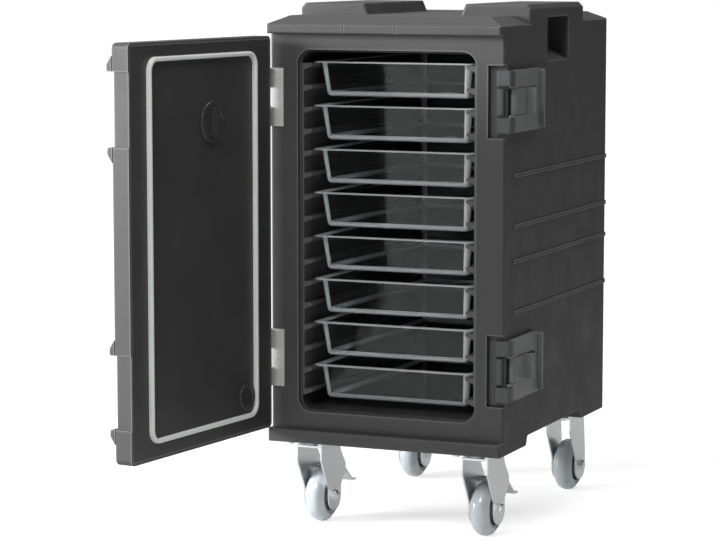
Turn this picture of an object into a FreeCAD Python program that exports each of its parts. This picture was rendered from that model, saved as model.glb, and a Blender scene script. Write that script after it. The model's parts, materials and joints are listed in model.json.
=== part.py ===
import FreeCAD, Part
import math
import os
import re
from types import SimpleNamespace

from FreeCAD import Placement, Rotation, Vector

# Insulated food pan carrier on four swivel casters, with the door standing open.
# The origin is on the floor under the middle of the cabinet, the door side faces -Y and +Z is up.

# Driving dimensions in millimetres and degrees
DIMENSIONS = {
    # Pans, which set the size of the cavity
    "pan_width": 325,
    "pan_length": 530,
    "pan_depth": 65,
    "pan_wall": 3,
    "pan_draft": 8,
    "pan_round": 18,
    "rim_width": 12.5,
    "rim_thickness": 2.5,
    "pan_setback": 31.5,
    "rim_side_clear": 6.5,
    "pan_back_clear": 2,
    "pan_floor_clear": 15.6,
    "first_rim_drop": 19,
    # Runners
    "runner_panel": 3,
    "ledge_reach": 16,
    "ledge_height": 12,
    "ledge_nose": 5,
    "ledge_edge": 1,
    "ledge_pitch": 40.6,
    "ledge_count": 16,
    # Cavity and door opening
    "liner_wall": 3,
    "rebate_depth": 12,
    "rebate_width": 4,
    "opening_round": 26,
    "sill_height": 33,
    # Cabinet
    "side_wall": 55,
    "back_wall": 32.5,
    "overhang": 19,
    "skin": 5,
    "foot_bottom": 168,
    "foot_length": 146,
    "foot_slope": 8,
    "arch_rise": 18,
    "base_strip": 25,
    "top_strip": 17,
    "shoulder_rise": 16,
    "shoulder_run": 34,
    "shell_edge": 4,
    "front_round": 5,
    "rear_round": 14,
    # Two shallow joints across the top strip, from the middle
    "joint_left": 78,
    "joint_right": 25,
    "joint_width": 2.5,
    "joint_depth": 1.5,
    # Handle blocks and hand pockets
    "block_width": 138,
    "block_length": 302,
    "block_rise": 21,
    "block_bevel": 9,
    "grip_length": 122,
    "grip_depth": 38,
    "grip_height": 83,
    "grip_bar": 25,
    "grip_slope": 22,
    "grip_round": 8,
    # Ribs round the sides and back, heights above the base strip
    "rib_rise": 2.5,
    "rib_height": 7,
    "rib_setback": 50,
    "rib_highest": 484,
    "rib_high": 391,
    "rib_low": 327,
    "rib_lowest": 233,
    # Door
    "door_inset": 1,
    "door_lap": 25,
    "door_thickness": 35,
    "door_gap": 4,
    "door_clear": 2,
    "door_round": 5,
    "door_rim": 6,
    "panel_thickness": 4,
    "open_angle": 96.6,
    "field_inset": 52,
    "field_depth": 3,
    "field_round": 30,
    "recess_depth": 5,
    "recess_height": 130,
    "recess_reach": 36,
    "edge_relief": 2,
    "lip_rise": 9,
    "lip_height": 12,
    "lip_run": 14,
    "lip_edge": 2,
    # Gasket
    "gasket_width": 8,
    "gasket_proud": 8,
    "gasket_round": 3.3,
    "gasket_root": 4,
    "gasket_root_depth": 2.5,
    "gasket_clear": 1,
    # Vent knob and plug on the inside of the door, from its hinge edge and its upper or lower end
    "vent_diameter": 76,
    "vent_plate": 5,
    "vent_rim": 8,
    "vent_dish": 2,
    "vent_grip": 9,
    "vent_grip_width": 11,
    "vent_grip_length": 56,
    "vent_grip_round": 4.4,
    "vent_stem": 16,
    "vent_from_hinge": 200,
    "vent_drop": 148,
    "plug_diameter": 50,
    "plug_plate": 4,
    "plug_rim": 6,
    "plug_dish": 2,
    "plug_stem": 20,
    "plug_from_hinge": 88.5,
    "plug_lift": 70,
    # Hinges, from the door's upper and lower end
    "hinge_drop": 114,
    "hinge_lift": 128,
    "leaf_height": 108,
    "leaf_width": 26.5,
    "leaf_reach": 10,
    "leaf_thickness": 1.8,
    "knuckle_radius": 4,
    "hinge_pin_radius": 2.2,
    "hinge_pin_head": 3,
    "pivot_out": 4,
    "pivot_fore": 18,
    "screw_head_radius": 4,
    "screw_radius": 2,
    "frame_screw": 14,
    "door_screw": 5.5,
    "screw_spread": 36,
    # Latches, from the door's upper and lower end
    "latch_drop": 114,
    "latch_lift": 127,
    "latch_height": 112,
    "latch_pocket_width": 32,
    "latch_pocket_depth": 14,
    "latch_pocket_play": 9.5,
    "latch_base_plate": 2,
    "latch_front_inset": 1,
    "ear_height": 27,
    "ear_inset": 15,
    "ear_cap": 6,
    "ear_front_round": 3,
    "ear_nose_round": 6,
    "ear_rear_round": 5,
    "bar_inset": 3,
    "bar_round": 4,
    "lever_out": 6.5,
    "lever_back": 14.5,
    "lever_length": 150,
    "lever_thickness": 10,
    "lever_gap": 2,
    "lever_band": 26,
    "lever_lip": 8,
    "lever_lip_round": 3.5,
    "lever_cheek": 4,
    "lever_root_round": 5,
    "lever_end_round": 8,
    "window_round": 4,
    "lever_pin_radius": 3,
    "hook_offset": 14,
    "hook_barrel": 5.5,
    "hook_plate": 5,
    "hook_grip": 15,
    "hook_inner_round": 2,
    "hook_tip_round": 1,
    "hook_back_round": 4,
    "hook_pin_radius": 2.5,
    "hook_pin_overlap": 9.5,
    # Casters
    "caster_side_inset": 64,
    "caster_end_inset": 71.5,
    "caster_plate_width": 84,
    "caster_plate_length": 100,
    "caster_plate_thickness": 3,
    "caster_plate_round": 8,
    "race_radius": 25,
    "race_height": 9,
    "race_bevel": 3,
    "race_round": 2,
    "king_pin_radius": 6,
    "king_head_radius": 11,
    "king_head_height": 4,
    "king_head_round": 2,
    "crown_thickness": 4,
    "crown_back": 56,
    "trail": 38,
    "wheel_diameter": 102,
    "wheel_width": 40,
    "wheel_side_gap": 3,
    "tyre_thickness": 16,
    "tyre_shoulder": 14,
    "tyre_side": 2,
    "tread_crown": 10,
    "tread_round": 16,
    "hub_web": 10,
    "hub_rim": 4,
    "hub_slope": 2,
    "hub_boss_radius": 15,
    "hub_boss_taper": 4,
    "hub_round": 3,
    "hub_edge": 1,
    "fork_sheet": 3,
    "fork_top_round": 4,
    "fork_shoulder": 30,
    "fork_bend": 14,
    "fork_neck": 15,
    "fork_eye_radius": 28,
    "fork_eye_round": 26,
    "fork_heel": 29,
    "axle_radius": 6,
    "axle_head_radius": 10,
    "axle_head": 5,
    "bolt_radius": 4,
    "bolt_head_radius": 6.5,
    "bolt_head": 4,
    "bolt_length": 3,
    "bolt_inset": 11,
    "head_round": 1.5,
    # Brake pedals of the two front casters
    "pedal_back": 44,
    "pedal_up": 46,
    "pedal_pin_radius": 3,
    "pedal_ear": 7.2,
    "pedal_ear_low": 17,
    "pedal_ear_shoulder": 24,
    "pedal_ear_bend": 12,
    "pedal_sheet": 3,
    "pedal_length": 66,
    "pedal_drop": 32,
    "pedal_shoe": 6,
    "pedal_heel": 12,
    "pedal_toe": 15,
    "pedal_bend": 7,
    "pedal_edge": 1,
    # Clearances
    "running_fit": 0.05,
    "seat_gap": 0.3,
    "side_play": 0.5,
}

# Places and sizes worked out from the driving dimensions
DERIVED = {
    "cavity_half": "pan_width / 2 + rim_side_clear + runner_panel",
    "opening_half": "cavity_half + rebate_width",
    "body_half": "opening_half + side_wall",
    "cavity_depth": "pan_setback + pan_length + pan_back_clear",
    "body_depth": "overhang + cavity_depth + back_wall",
    "front_plane": "-body_depth / 2",
    "frame_plane": "front_plane + overhang",
    "back_plane": "body_depth / 2",
    "rebate_plane": "frame_plane + rebate_depth",
    "cavity_back": "frame_plane + cavity_depth",
    "arch_low": "foot_bottom + arch_rise",
    "base_top": "foot_bottom + base_strip",
    "opening_low": "base_top + sill_height",
    "cavity_low": "opening_low + rebate_width",
    "stack_height": "pan_floor_clear + pan_depth + ledge_pitch * (ledge_count - 2) + first_rim_drop",
    "cavity_high": "cavity_low + stack_height",
    "opening_high": "cavity_high + rebate_width",
    "door_low": "base_top + door_gap",
    "door_high": "opening_high + door_lap",
    "strip_low": "door_high + door_gap",
    "strip_high": "strip_low + top_strip",
    "deck": "strip_high + shoulder_rise",
    "block_top": "deck + block_rise",
    "block_inner": "body_half - block_width",
    "grip_high": "block_top - grip_bar",
    "grip_low": "grip_high - grip_height",
    "grip_wall": "body_half - grip_depth",
    "liner_round": "opening_round - rebate_width",
    "liner_half": "cavity_half + liner_wall",
    "first_rim": "cavity_high - first_rim_drop",
    "first_ledge": "first_rim - rim_thickness - seat_gap",
    "last_ledge": "first_ledge - ledge_pitch * (ledge_count - 1)",
    "pan_front": "frame_plane + pan_setback",
    "door_half": "body_half - door_inset",
    "door_inner": "frame_plane - door_clear",
    "door_outer": "door_inner - door_thickness",
    "door_floor": "door_outer + recess_depth + skin",
    "panel_back": "door_inner - panel_thickness",
    "vent_x": "vent_from_hinge - door_half",
    "vent_height": "door_high - vent_drop",
    "plug_x": "plug_from_hinge - door_half",
    "plug_height": "door_low + plug_lift",
    "gasket_middle": "gasket_clear + gasket_width / 2",
    "hinge_x": "-body_half - pivot_out",
    "hinge_y": "frame_plane - pivot_fore",
    "hinge_upper": "door_high - hinge_drop",
    "hinge_lower": "door_low + hinge_lift",
    "latch_upper": "door_high - latch_drop",
    "latch_lower": "door_low + latch_lift",
    "latch_pocket_height": "latch_height + 2 * latch_pocket_play",
    "latch_floor": "frame_plane + latch_pocket_depth",
    "ear_low": "latch_height / 2 - ear_height",
    "window_half": "ear_low - side_play - lever_cheek",
    "hook_half": "window_half - 2 * side_play",
    "lever_x": "body_half + lever_out",
    "lever_y": "frame_plane + lever_back",
    "lever_inner": "lever_x - lever_thickness / 2",
    "lever_outer": "lever_x + lever_thickness / 2",
    "hook_y": "lever_y + hook_offset",
    "plate_low": "foot_bottom - caster_plate_thickness",
    "race_low": "plate_low - race_height",
    "crown_top": "race_low - seat_gap",
    "crown_low": "crown_top - crown_thickness",
    "wheel_radius": "wheel_diameter / 2",
    "wheel_half": "wheel_width / 2",
    "fork_inside": "wheel_half + wheel_side_gap",
    "fork_half": "fork_inside + fork_sheet",
    "pedal_y": "trail + pedal_back",
    "pedal_z": "wheel_radius + pedal_up",
    "pedal_half": "fork_inside - side_play",
}

doc = FreeCAD.newDocument("pan_carrier")


def bound(text, local=()):
    """Expression text with every size named in full, apart from those in local."""
    def owner(match):
        word = match.group(0)
        if word in local:
            return word
        if word in DIMENSIONS:
            return "dims." + word
        return "places." + word if word in DERIVED else word
    return re.sub(r"[a-z_]+", owner, text)


def make_sheet(name, cells):
    """Spreadsheet with a word beside each cell and that word as the cell's alias."""
    sheet = doc.addObject("Spreadsheet::Sheet", name)
    for row, (alias, content) in enumerate(cells.items(), start=1):
        sheet.set(f"A{row}", alias)
        sheet.set(f"B{row}", content)
        sheet.setAlias(f"B{row}", alias)
    doc.recompute()
    return sheet


dims = make_sheet("dims", {alias: str(number) for alias, number in DIMENSIONS.items()})
places = make_sheet("places", {alias: "=" + bound(text, DERIVED) for alias, text in DERIVED.items()})
size = SimpleNamespace(
    **{alias: float(dims.get(alias)) for alias in DIMENSIONS},
    **{alias: float(places.get(alias)) for alias in DERIVED},
)
OVERCUT = 1
SMALL = 0.001
UP = Vector(0, 0, 1)
pieces = {}


def box(name, x, y, z):
    """Part box between expression pairs for its low and high faces."""
    item = doc.addObject("Part::Box", name)
    for prop, axis, (low, high) in zip(("Length", "Width", "Height"), "xyz", (x, y, z)):
        item.setExpression("Placement.Base." + axis, bound(low))
        item.setExpression(prop, bound(f"({high}) - ({low})"))
    return item


TURNS = {
    "x": Rotation(Vector(0, 1, 0), 90),
    "y": Rotation(Vector(1, 0, 0), -90),
    "z": Rotation(),
}


def rod(name, axis, radius, low, high, at):
    """Part cylinder along an axis, with expressions for its ends and for its two other coordinates."""
    item = doc.addObject("Part::Cylinder", name)
    item.Placement = Placement(Vector(), TURNS[axis])
    others = [letter for letter in "xyz" if letter != axis]
    for letter, text in zip([axis] + others, (low,) + tuple(at)):
        item.setExpression("Placement.Base." + letter, bound(text))
    item.setExpression("Radius", bound(radius))
    item.setExpression("Height", bound(f"({high}) - ({low})"))
    return item


def fuse(name, items):
    item = doc.addObject("Part::MultiFuse", name)
    item.Shapes = items
    item.Refine = True
    return item


def common(name, items):
    item = doc.addObject("Part::MultiCommon", name)
    item.Shapes = items
    item.Refine = True
    return item


def cut(name, base, tools):
    item = doc.addObject("Part::Cut", name)
    item.Base = base
    item.Tool = tools[0] if len(tools) == 1 else fuse(name + "_tools", tools)
    item.Refine = True
    return item


def mirror(name, source, normal=Vector(1, 0, 0)):
    item = doc.addObject("Part::Mirroring", name)
    item.Source = source
    item.Base = Vector()
    item.Normal = normal
    return item


def round_edges(name, base, radius, chosen):
    """Fillet of the edges for which chosen(edge) is true."""
    doc.recompute()
    item = doc.addObject("Part::Fillet", name)
    item.Base = base
    edges = enumerate(base.Shape.Edges, start=1)
    item.Edges = [(index, radius, radius) for index, edge in edges if chosen(edge)]
    return item


def runs_along(edge, axis):
    """Whether a straight edge is parallel to an axis."""
    extent = {letter: getattr(edge.BoundBox, letter + "Length") for letter in "XYZ"}
    across = [length for letter, length in extent.items() if letter != axis]
    return extent[axis] > SMALL and max(across) < SMALL


def lies_at(edge, axis, place):
    box_of = edge.BoundBox
    low = getattr(box_of, axis + "Min")
    high = getattr(box_of, axis + "Max")
    return abs(low - place) < SMALL and abs(high - place) < SMALL


def group(name, items, placement=None):
    """Several finished solids, or one, as one object with a placement of its own."""
    item = doc.addObject("Part::Compound", name)
    item.Links = items
    if placement:
        item.Placement = placement
    return item


PLANES = {"xy": "XY_Plane", "xz": "XZ_Plane", "yz": "YZ_Plane"}


def new_body(name):
    return doc.addObject("PartDesign::Body", name)


def outline(sketch, corners):
    """Closed outline through the corners, where a third number rounds its corner."""
    ends = []
    for index, corner in enumerate(corners):
        here = Vector(corner[0], corner[1], 0)
        to_before = (Vector(*corners[index - 1][:2], 0) - here).normalize()
        to_after = (Vector(*corners[(index + 1) % len(corners)][:2], 0) - here).normalize()
        if len(corner) < 3:
            ends.append((here, here))
            continue
        half = to_before.getAngle(to_after) / 2
        reach = corner[2] / math.tan(half)
        middle = (to_before + to_after).normalize() * (corner[2] / math.sin(half) - corner[2])
        first = here + to_before * reach
        last = here + to_after * reach
        sketch.addGeometry(Part.Arc(first, here + middle, last))
        ends.append((first, last))
    for index, (first, last) in enumerate(ends):
        following = ends[(index + 1) % len(ends)][0]
        if last.distanceToPoint(following) > SMALL:
            sketch.addGeometry(Part.LineSegment(last, following))


def rectangle(width, height, radius, middle=(0, 0)):
    """Corners of a rounded rectangle about a middle point."""
    x, y = middle
    return [(x + sign_x * width / 2, y + sign_y * height / 2, radius)
            for sign_x, sign_y in ((-1, -1), (1, -1), (1, 1), (-1, 1))]


def new_sketch(body, plane, outlines, offset="0"):
    """Sketch on one of the body's own planes, moved by an expression along that plane's normal."""
    sketch = body.newObject("Sketcher::SketchObject", body.Name + "_sketch")
    support = [item for item in body.Origin.OriginFeatures if item.Role == PLANES[plane]][0]
    sketch.AttachmentSupport = (support, [""])
    sketch.MapMode = "FlatFace"
    sketch.setExpression("AttachmentOffset.Base.z", bound(offset))
    for corners in outlines:
        outline(sketch, corners)
    return sketch


def pad(body, plane, outlines, low, high):
    """Pad of outlines between two expressions along the plane's axis."""
    offset = f"-({high})" if plane == "xz" else low
    sketch = new_sketch(body, plane, outlines, offset)
    feature = body.newObject("PartDesign::Pad", body.Name + "_pad")
    feature.Profile = sketch
    feature.setExpression("Length", bound(f"({high}) - ({low})"))
    return feature


def prism(name, plane, outlines, low, high):
    """A body that is one pad."""
    body = new_body(name)
    pad(body, plane, outlines, low, high)
    return body


def turned(name, corners, axis="z", at=Vector()):
    """Body of revolution from corners of radius and height, laid along an axis through a point."""
    body = new_body(name)
    sketch = new_sketch(body, "xz", [corners])
    feature = body.newObject("PartDesign::Revolution", name + "_turn")
    feature.Profile = sketch
    feature.ReferenceAxis = (sketch, ["V_Axis"])
    feature.Angle = 360
    body.Placement = Placement(at, TURNS[axis])
    return body


# Hinge screws: countersunk, three in each leaf
SCREW_RISES = (-size.screw_spread, 0, size.screw_spread)


def screw_corners(length, clear):
    head = size.screw_head_radius + clear
    shank = size.screw_radius + clear
    return [(0, 0), (head, 0), (shank, size.leaf_thickness), (shank, length + clear), (0, length + clear)]


def frame_screws(name, height, clear):
    """The screws of one hinge in the frame, or the holes for them."""
    x = -size.body_half + size.leaf_width / 2
    y = size.frame_plane - size.leaf_thickness
    corners = screw_corners(size.frame_screw, clear)
    return [turned(name, corners, "y", Vector(x, y, height + rise)) for rise in SCREW_RISES]


def edge_screws(name, height, clear):
    """The screws of one hinge in the door's edge, or the holes for them."""
    x = -size.door_half - size.leaf_thickness
    y = size.hinge_y - size.knuckle_radius - size.leaf_reach / 2
    corners = screw_corners(size.door_screw, clear)
    return [turned(name, corners, "x", Vector(x, y, height + rise)) for rise in SCREW_RISES]


def both_hinges(maker, name, clear=0):
    return maker(name, size.hinge_upper, clear) + maker(name, size.hinge_lower, clear)


# Outer shell: one side profile across the width, with feet, arch and the two overhanging strips
def shell_form():
    edge = size.shell_edge
    foot_end = size.front_plane + size.foot_length
    rear_foot = size.back_plane - size.foot_length
    profile = [
        (size.front_plane, size.foot_bottom, edge),
        (foot_end, size.foot_bottom, edge),
        (foot_end + size.foot_slope, size.arch_low, edge),
        (rear_foot - size.foot_slope, size.arch_low, edge),
        (rear_foot, size.foot_bottom, edge),
        (size.back_plane, size.foot_bottom, edge),
        (size.back_plane, size.strip_high, 2 * edge),
        (size.back_plane - size.shoulder_run, size.deck, 2 * edge),
        (size.front_plane + size.shoulder_run, size.deck, 2 * edge),
        (size.front_plane, size.strip_high, edge),
        (size.front_plane, size.strip_low, edge),
        (size.frame_plane, size.strip_low),
        (size.frame_plane, size.base_top),
        (size.front_plane, size.base_top, edge),
    ]
    side_view = prism("shell_side_view", "yz", [profile], "-body_half", "body_half")
    plan = [
        (-size.body_half, size.front_plane, size.front_round),
        (size.body_half, size.front_plane, size.front_round),
        (size.body_half, size.back_plane, size.rear_round),
        (-size.body_half, size.back_plane, size.rear_round),
    ]
    plan_view = prism("shell_plan_view", "xy", [plan], f"foot_bottom - {OVERCUT}", f"deck + {OVERCUT}")
    return common("shell_form", [side_view, plan_view])


def shoulder_cut():
    """The slope along the top of one long side, as the piece to take away."""
    corners = [
        (size.body_half - size.shoulder_run, size.deck),
        (size.body_half + OVERCUT, size.strip_high),
        (size.body_half + OVERCUT, size.deck + OVERCUT),
        (size.body_half - size.shoulder_run, size.deck + OVERCUT),
    ]
    return prism("shoulder_cut", "xz", [corners], f"front_plane - {OVERCUT}", f"back_plane + {OVERCUT}")


def strip_joint(place):
    """Shallow upright groove across the top strip."""
    return box("strip_joint",
               (f"{place} - joint_width / 2", f"{place} + joint_width / 2"),
               (f"front_plane - {OVERCUT}", "front_plane + joint_depth"),
               (f"strip_low - {OVERCUT}", f"strip_high + {OVERCUT}"))


def handle_block():
    bevel = size.block_bevel
    corners = [
        (size.block_inner, size.strip_low),
        (size.block_inner, size.deck),
        (size.block_inner + bevel, size.block_top, bevel / 2),
        (size.body_half - bevel, size.block_top, bevel / 2),
        (size.body_half, size.block_top - bevel, bevel / 2),
        (size.body_half, size.strip_low),
    ]
    return prism("handle_block", "xz", [corners], "-block_length / 2", "block_length / 2")


def hand_pocket():
    corners = [
        (size.body_half + OVERCUT, size.grip_low),
        (size.grip_wall, size.grip_low + size.grip_slope, size.grip_round),
        (size.grip_wall, size.grip_high, size.grip_round),
        (size.body_half + OVERCUT, size.grip_high),
    ]
    return prism("hand_pocket", "xz", [corners], "-grip_length / 2", "grip_length / 2")


def rib_bands():
    """Ribs that run along both sides and round the back."""
    half = size.body_half + size.rib_rise
    front = size.frame_plane + size.rib_setback
    back = size.back_plane + size.rib_rise
    corner = size.rear_round + size.rib_rise
    plan = [(-half, front), (half, front), (half, back, corner), (-half, back, corner)]
    bands = []
    for lift in ("rib_highest", "rib_high", "rib_low", "rib_lowest"):
        middle = "base_top + " + lift
        ends = (f"{middle} - rib_height / 2", f"{middle} + rib_height / 2")
        bands.append(prism("rib_band", "xy", [plan], *ends))
    return bands


def latch_pocket(centre):
    return box("latch_pocket",
               ("body_half - latch_pocket_width", f"body_half + {OVERCUT}"),
               (f"frame_plane - {OVERCUT}", "latch_floor"),
               (f"{centre} - latch_pocket_height / 2", f"{centre} + latch_pocket_height / 2"))


def front_rectangle(half, low, high, radius):
    """Rounded rectangle in the front view, from its half width and its low and high edges."""
    return rectangle(2 * half, high - low, radius, (0, (low + high) / 2))


def cavity_outline(grow):
    return front_rectangle(size.cavity_half + grow, size.cavity_low - grow, size.cavity_high + grow,
                           size.liner_round + grow)


def wall_hollow():
    """Space inside the skin that the foam fills, clear of the hand pockets."""
    room = box("wall_room",
               ("-body_half + skin", "body_half - skin"),
               ("rebate_plane + skin", "back_plane - skin"),
               ("arch_low + skin", "strip_high - skin"))
    around = box("pocket_wall",
                 ("grip_wall - skin", f"body_half + {OVERCUT}"),
                 ("-grip_length / 2 - skin", "grip_length / 2 + skin"),
                 ("grip_low - skin", f"deck + {OVERCUT}"))
    return cut("wall_hollow", room, [around, mirror("pocket_wall_left", around)])


def outer_shell(hollow):
    form = round_edges("shell_frame_round", shell_form(), size.front_round,
                       lambda edge: runs_along(edge, "Z") and lies_at(edge, "Y", size.frame_plane))
    shoulder = shoulder_cut()
    joints = [strip_joint("-joint_left"), strip_joint("joint_right")]
    form = cut("shell_shoulders", form, [shoulder, mirror("shoulder_cut_left", shoulder)] + joints)
    block = round_edges("handle_block_round", handle_block(), size.block_bevel / 2,
                        lambda edge: runs_along(edge, "Z") and edge.BoundBox.ZMin > size.strip_low - OVERCUT)
    form = fuse("shell_outside", [form, block, mirror("handle_block_left", block)] + rib_bands())
    pocket = hand_pocket()
    opening = front_rectangle(size.opening_half, size.opening_low, size.opening_high, size.opening_round)
    rebate = prism("rebate", "xz", [opening], f"frame_plane - {OVERCUT}", "rebate_plane")
    mouth = prism("mouth", "xz", [cavity_outline(size.liner_wall + size.seat_gap)],
                  f"rebate_plane - {OVERCUT}", f"rebate_plane + skin + {OVERCUT}")
    holes = group("frame_screw_holes", both_hinges(frame_screws, "frame_screw_hole", size.running_fit))
    return cut("outer_shell", form,
               [hollow, pocket, mirror("hand_pocket_left", pocket), rebate, mouth, holes,
                latch_pocket("latch_upper"), latch_pocket("latch_lower")])


def inner_liner():
    outside = prism("liner_outside", "xz", [cavity_outline(size.liner_wall)],
                    "rebate_plane", "cavity_back + liner_wall")
    inside = prism("liner_inside", "xz", [cavity_outline(0)], f"rebate_plane - {OVERCUT}", "cavity_back")
    return cut("inner_liner", outside, [inside])


def insulation(hollow):
    room = box("liner_room",
               ("-liner_half", "liner_half"),
               (f"rebate_plane - {OVERCUT}", "cavity_back + liner_wall"),
               ("cavity_low - liner_wall", "cavity_high + liner_wall"))
    return cut("insulation", hollow, [room])


def runners():
    """Right-hand side panel with its ledges."""
    wall = size.cavity_half
    face = wall - size.runner_panel
    ends = ("rebate_plane + seat_gap", "cavity_back - seat_gap")
    body = new_body("runner_body")
    low = size.last_ledge - size.ledge_height - size.side_play
    panel = [(face, low), (wall, low), (wall, size.first_ledge), (face, size.first_ledge)]
    pad(body, "xz", [panel], *ends)
    nose = face - size.ledge_reach
    ledge = [
        (face + size.side_play, size.first_ledge),
        (nose, size.first_ledge, size.ledge_edge),
        (nose, size.first_ledge - size.ledge_nose, 2 * size.ledge_edge),
        (face + size.side_play, size.first_ledge - size.ledge_height),
    ]
    first = pad(body, "xz", [ledge], *ends)
    doc.recompute()
    repeat = body.newObject("PartDesign::LinearPattern", "ledges")
    repeat.Originals = [first]
    upright = [item for item in body.Origin.OriginFeatures if item.Role == "Z_Axis"][0]
    repeat.Direction = (upright, [""])
    repeat.Reversed = True
    repeat.setExpression("Length", bound("ledge_pitch * (ledge_count - 1)"))
    repeat.setExpression("Occurrences", bound("ledge_count"))
    body.Tip = repeat
    return body


def pan():
    """One pan about its own middle, with its rim's top at zero height."""
    body = new_body("pan_body")
    mouth_width = size.pan_width - 2 * size.rim_width
    mouth_length = size.pan_length - 2 * size.rim_width
    inner_round = size.pan_round - size.rim_width / 2
    pad(body, "xy", [rectangle(size.pan_width, size.pan_length, size.pan_round)], "-rim_thickness", "0")

    def section(grow, drop, depth):
        narrow = 2 * size.pan_draft * drop / size.pan_depth
        corners = rectangle(mouth_width + 2 * grow - narrow, mouth_length + 2 * grow - narrow,
                            inner_round + grow)
        return new_sketch(body, "xy", [corners], depth)

    outside = body.newObject("PartDesign::AdditiveLoft", "pan_outside")
    outside.Profile = section(0, 0, "-rim_thickness")
    outside.Sections = [section(0, size.pan_depth, "-pan_depth")]
    outside.Ruled = True
    inside = body.newObject("PartDesign::SubtractiveLoft", "pan_inside")
    inside.Profile = section(-size.pan_wall, 0, "0")
    inside.Sections = [section(-size.pan_wall, size.pan_depth, "pan_wall - pan_depth")]
    inside.Ruled = True
    return body


# Door, built shut and then swung open about the hinge line
hinge_line = Vector(size.hinge_x, size.hinge_y, 0)
swung = Placement(Vector(), Rotation(UP, -size.open_angle), hinge_line)


def strike_lip(centre, side):
    """Raised lip beside a latch recess, above it for side 1 and below it for side -1."""
    start = centre + side * size.recess_height / 2
    top = start + side * size.lip_height
    end = top + side * size.lip_run
    crest = size.door_outer - size.lip_rise
    root = size.door_outer + OVERCUT
    corners = [(root, start), (crest, start, size.lip_edge), (crest, top, size.lip_edge),
               (size.door_outer, end), (root, end)]
    return prism("strike_lip", "yz", [corners], "door_half - recess_reach", "door_half")


def latch_recess(centre):
    height = (f"{centre} - recess_height / 2", f"{centre} + recess_height / 2")
    face = box("latch_recess",
               ("door_half - recess_reach", f"door_half + {OVERCUT}"),
               (f"door_outer - {OVERCUT}", "door_outer + recess_depth"), height)
    edge = box("edge_relief",
               ("door_half - edge_relief", f"door_half + {OVERCUT}"),
               (f"door_outer - {OVERCUT}", f"door_inner + {OVERCUT}"), height)
    return [face, edge]


def door_shell():
    slab = box("door_slab", ("-door_half", "door_half"), ("door_outer", "door_inner"),
               ("door_low", "door_high"))
    slab = round_edges("door_corner_round", slab, 2 * size.door_round,
                       lambda edge: runs_along(edge, "Y"))
    slab = round_edges("door_face_round", slab, size.door_round,
                       lambda edge: lies_at(edge, "Y", size.door_outer))
    inset = size.field_inset
    field = prism("door_field", "xz",
                  [front_rectangle(size.door_half - inset, size.door_low + inset, size.door_high - inset,
                                   size.field_round)],
                  f"door_outer - {OVERCUT}", "door_outer + field_depth")
    hollow = box("door_hollow",
                 ("-door_half + door_rim", "door_half - door_rim"),
                 ("door_floor", f"door_inner + {OVERCUT}"),
                 ("door_low + door_rim", "door_high - door_rim"))
    holes = group("door_screw_holes", both_hinges(edge_screws, "door_screw_hole", size.running_fit))
    recesses = latch_recess("latch_upper") + latch_recess("latch_lower")
    bare = cut("door_bare", slab, recesses + [field, hollow, holes])
    lips = [strike_lip(centre, side) for centre in (size.latch_upper, size.latch_lower) for side in (1, -1)]
    return fuse("door_shell", [bare] + lips)


def door_fill(name, low, high):
    return box(name,
               ("-door_half + door_rim", "door_half - door_rim"), (low, high),
               ("door_low + door_rim", "door_high - door_rim"))


def gasket_rings(width):
    """Outer and inner outline of a ring whose middle line runs inside the rebate."""
    rings = []
    for grow in (width / 2, -width / 2):
        inward = size.gasket_middle - grow
        rings.append(front_rectangle(size.opening_half - inward, size.opening_low + inward,
                                     size.opening_high - inward, size.opening_round - inward))
    return rings


def door_gasket():
    bulb = prism("gasket_bulb", "xz", gasket_rings(size.gasket_width),
                 "door_inner", "door_inner + gasket_proud")
    tip = size.door_inner + size.gasket_proud
    bulb = round_edges("gasket_bulb_round", bulb, size.gasket_round, lambda edge: lies_at(edge, "Y", tip))
    root = prism("gasket_root_ring", "xz", gasket_rings(size.gasket_root),
                 "door_inner - gasket_root_depth", "door_inner")
    return fuse("door_gasket", [bulb, root])


def door_inner_panel():
    sheet = door_fill("panel_sheet", "panel_back", "door_inner")
    groove = prism("gasket_groove", "xz", gasket_rings(size.gasket_root + 2 * size.running_fit),
                   "door_inner - gasket_root_depth", f"door_inner + {OVERCUT}")
    ends = (f"panel_back - {OVERCUT}", f"door_inner + {OVERCUT}")
    vent = rod("vent_bore", "y", "vent_stem / 2 + running_fit", *ends, ("vent_x", "vent_height"))
    plug = rod("plug_bore", "y", "plug_stem / 2 + running_fit", *ends, ("plug_x", "plug_height"))
    return cut("door_inner_panel", sheet, [groove, vent, plug])


def dished_cap(name, stem, radius, rim, plate, dish, lift, place):
    """Round cap with a raised rim and a stem through the panel, standing off the panel by lift."""
    tail = lift - size.panel_thickness
    floor = plate - dish
    return turned(name, [
        (0, tail), (stem, tail), (stem, lift), (radius, lift), (radius, plate, dish),
        (radius - rim, plate, dish / 2), (radius - rim - dish, floor, dish / 2), (0, floor)], "y", place)


def vent_knob():
    """Round vent cap with a grip across it, turned by hand."""
    place = Vector(size.vent_x, size.door_inner, size.vent_height)
    disc = dished_cap("vent_disc", size.vent_stem / 2, size.vent_diameter / 2, size.vent_rim,
                      size.vent_plate, size.vent_dish, size.seat_gap, place)
    grip = prism("vent_grip_bar", "xz",
                 [rectangle(size.vent_grip_width, size.vent_grip_length, size.vent_grip_round,
                            (size.vent_x, size.vent_height))],
                 "door_inner + vent_plate - vent_dish - side_play", "door_inner + vent_plate + vent_grip")
    return fuse("vent_knob_shut", [disc, grip])


def fill_plug():
    place = Vector(size.plug_x, size.door_inner, size.plug_height)
    return dished_cap("fill_plug_shut", size.plug_stem / 2, size.plug_diameter / 2, size.plug_rim,
                      size.plug_plate, size.plug_dish, 0, place)


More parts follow.
